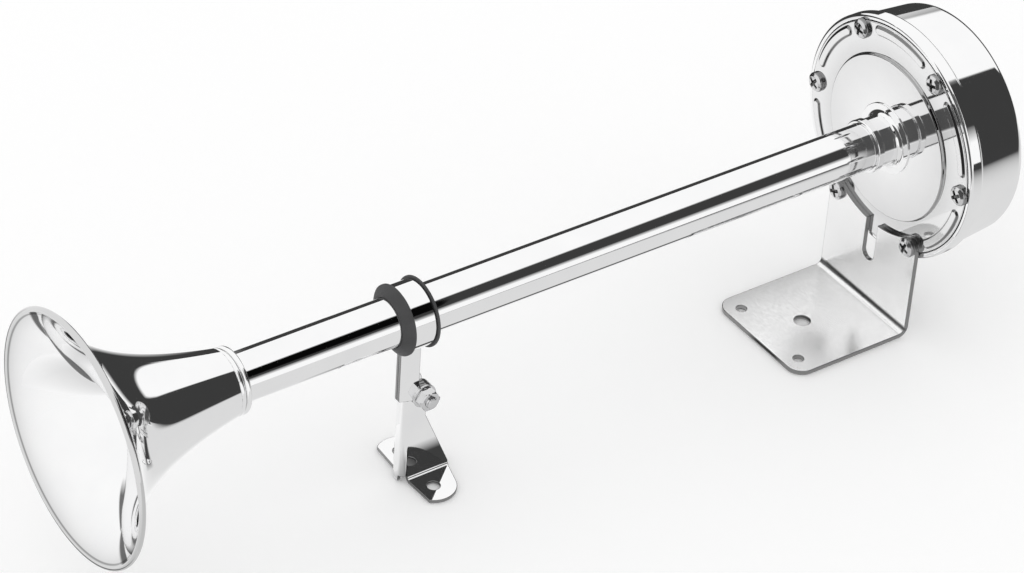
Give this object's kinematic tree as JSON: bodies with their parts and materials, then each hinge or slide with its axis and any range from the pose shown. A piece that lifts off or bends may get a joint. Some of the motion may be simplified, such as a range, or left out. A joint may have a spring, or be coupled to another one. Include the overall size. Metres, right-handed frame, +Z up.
{
  "type": "electric marine trumpet horn",
  "caption": "Polished stainless steel electric marine horn: a long tube with a flared bell, a round sound unit, an angled rear bracket and a rubber-lined front clamp with a foot.",
  "frame": {"origin": "midway between the rear bracket's two front holes, on the deck plane", "axes": "+Y along the horn from the bell to the sound unit, +Z up from the deck, +X to the right when looking along +Y"},
  "size_m": [0.1038, 0.4154, 0.1349],
  "materials": {
    "polished_steel": "mirror polished stainless steel",
    "satin_steel": "fine satin stainless sheet",
    "fastener_steel": "bright stainless fasteners",
    "magnet_iron": "zinc plated soft iron and steel",
    "rubber": "matt black rubber",
    "spring_steel": "plain spring steel sheet",
    "contact_brass": "plain brass",
    "laminate": "brown phenolic laminate",
    "moulding": "black moulded nylon",
    "winding": null
  },
  "bodies": {
    "horn": {"trumpet_bell": "polished_steel", "bell_ferrule": "polished_steel", "trumpet_tube": "polished_steel", "throat_piece": "polished_steel", "front_cover": "polished_steel", "front_gasket": "rubber", "rear_gasket": "rubber", "magnet_housing": "magnet_iron", "nut_ring": "magnet_iron", "rear_cover": "polished_steel", "pole_core": "magnet_iron", "coil_bobbin": "moulding", "coil_winding": "winding", "contact_block": "laminate", "contact_spacer": "laminate", "fixed_contact": "contact_brass", "breaker_screws": "fastener_steel", "tuning_locknut": "fastener_steel", "terminal_plate": "laminate", "terminal_bushes": "moulding", "terminal_screws": "contact_brass", "terminal_nuts": "contact_brass", "cable_gland": "rubber", "case_screws": "fastener_steel", "rear_bracket": "satin_steel"},
    "diaphragm_set": {"diaphragm": "spring_steel", "diaphragm_washer": "fastener_steel", "diaphragm_nut": "fastener_steel", "armature": "magnet_iron"},
    "breaker": {"breaker_arm": "contact_brass"},
    "tuner": {"tuning_screw": "fastener_steel"},
    "sleeve": {"rubber_sleeve": "rubber"},
    "band": {"clamp_band": "polished_steel", "clamp_bolt": "fastener_steel", "clamp_washer": "fastener_steel", "clamp_nut": "fastener_steel"},
    "foot": {"front_foot": "satin_steel"}
  },
  "joints": [
    {"name": "diaphragm_stroke", "type": "slide", "parent": "horn", "child": "diaphragm_set", "axis": [0, 1, 0], "range_m": [0, 0.0006], "stiffness_N_per_m": 50000},
    {"name": "breaker_swing", "type": "hinge", "parent": "horn", "child": "breaker", "pos_m": [0.0335, 0.0598, 0.083], "axis": [0, 0, -1], "range_deg": [0, 1.7]},
    {"name": "tuning_turn", "type": "hinge", "parent": "horn", "child": "tuner", "pos_m": [0.0268, 0.07, 0.0905], "axis": [0, 1, 0], "range_deg": [-180, 180]},
    {"name": "clamp_slide", "type": "slide", "parent": "horn", "child": "sleeve", "axis": [0, 1, 0], "range_m": [-0.065, 0.149]},
    {"name": "band_turn", "type": "hinge", "parent": "sleeve", "child": "band", "pos_m": [0, -0.1826, 0.083], "axis": [0, 1, 0], "range_deg": [-180, 180]},
    {"name": "foot_pivot", "type": "hinge", "parent": "band", "child": "foot", "pos_m": [-0.0028, -0.1755, 0.044], "axis": [1, 0, 0], "range_deg": [-60, 60]}
  ],
  "couplings": [
    {"joint": "breaker_swing", "follows": "diaphragm_stroke", "rad_per_m": 46.9}
  ]
}
